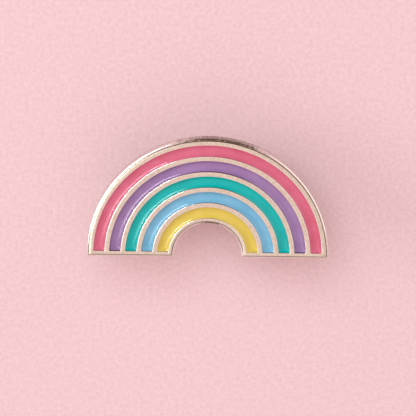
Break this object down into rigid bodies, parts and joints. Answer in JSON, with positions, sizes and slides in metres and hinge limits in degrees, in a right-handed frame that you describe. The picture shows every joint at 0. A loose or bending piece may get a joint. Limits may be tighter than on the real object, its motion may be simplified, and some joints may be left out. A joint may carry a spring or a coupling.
{
  "type": "enamel pin",
  "caption": "Rainbow-shaped struck metal pin with recessed enamel bands, held to cloth by rear posts and butterfly clutches.",
  "frame": {"origin": "centre of the footprint, on the surface that the clutch wings stand on", "axes": "+Z out of the enamelled face, +Y toward the crown of the arch, +X toward the right leg as the wearer's viewer sees it"},
  "size_m": [0.032, 0.0162, 0.011],
  "materials": {
    "plated_metal": "satin pale champagne nickel plating with a polished side wall",
    "pink_enamel": "glossy cured soft enamel",
    "purple_enamel": "glossy cured soft enamel",
    "teal_enamel": "glossy cured soft enamel",
    "light_blue_enamel": "glossy cured soft enamel",
    "yellow_enamel": "glossy cured soft enamel",
    "post_metal": "bright nickel plated",
    "solder": "dull soft solder",
    "clutch_metal": "bright nickel plated sheet",
    "spring_steel": "bright spring steel"
  },
  "bodies": {
    "badge": {"badge_base": "plated_metal", "enamel_pink": "pink_enamel", "enamel_purple": "purple_enamel", "enamel_teal": "teal_enamel", "enamel_light_blue": "light_blue_enamel", "enamel_yellow": "yellow_enamel", "left_post": "post_metal", "right_post": "post_metal", "left_post_solder": "solder", "right_post_solder": "solder"},
    "left_clutch": {"left_clutch_disc": "clutch_metal", "left_clutch_housing": "clutch_metal", "left_clutch_spring": "spring_steel"},
    "left_upper_wing": {"left_clutch_upper_wing": "clutch_metal"},
    "left_lower_wing": {"left_clutch_lower_wing": "clutch_metal"},
    "right_clutch": {"right_clutch_disc": "clutch_metal", "right_clutch_housing": "clutch_metal", "right_clutch_spring": "spring_steel"},
    "right_upper_wing": {"right_clutch_upper_wing": "clutch_metal"},
    "right_lower_wing": {"right_clutch_lower_wing": "clutch_metal"}
  },
  "joints": [
    {"name": "left_clutch_slide", "type": "slide", "parent": "badge", "child": "left_clutch", "axis": [0, 0, -1], "range_m": [0, 0.009]},
    {"name": "left_upper_wing_pinch", "type": "hinge", "parent": "left_clutch", "child": "left_upper_wing", "pos_m": [-0.00892, -0.00146, 0.0019], "axis": [-1, 0, 0], "range_deg": [0, 12], "stiffness_Nm_per_rad": 0.001, "springref_deg": -5.73, "deforming": ["left_clutch_spring"]},
    {"name": "left_lower_wing_pinch", "type": "hinge", "parent": "left_clutch", "child": "left_lower_wing", "pos_m": [-0.00892, -0.00396, 0.0019], "axis": [-1, 0, 0], "range_deg": [-12, 0], "stiffness_Nm_per_rad": 0.001, "springref_deg": 5.73},
    {"name": "right_clutch_slide", "type": "slide", "parent": "badge", "child": "right_clutch", "axis": [0, 0, -1], "range_m": [0, 0.009]},
    {"name": "right_upper_wing_pinch", "type": "hinge", "parent": "right_clutch", "child": "right_upper_wing", "pos_m": [0.00892, -0.00146, 0.0019], "axis": [-1, 0, 0], "range_deg": [0, 12], "stiffness_Nm_per_rad": 0.001, "springref_deg": -5.73, "deforming": ["right_clutch_spring"]},
    {"name": "right_lower_wing_pinch", "type": "hinge", "parent": "right_clutch", "child": "right_lower_wing", "pos_m": [0.00892, -0.00396, 0.0019], "axis": [-1, 0, 0], "range_deg": [-12, 0], "stiffness_Nm_per_rad": 0.001, "springref_deg": 5.73}
  ],
  "couplings": [
    {"joint": "left_lower_wing_pinch", "follows": "left_upper_wing_pinch", "ratio": -1},
    {"joint": "right_lower_wing_pinch", "follows": "right_upper_wing_pinch", "ratio": -1}
  ]
}
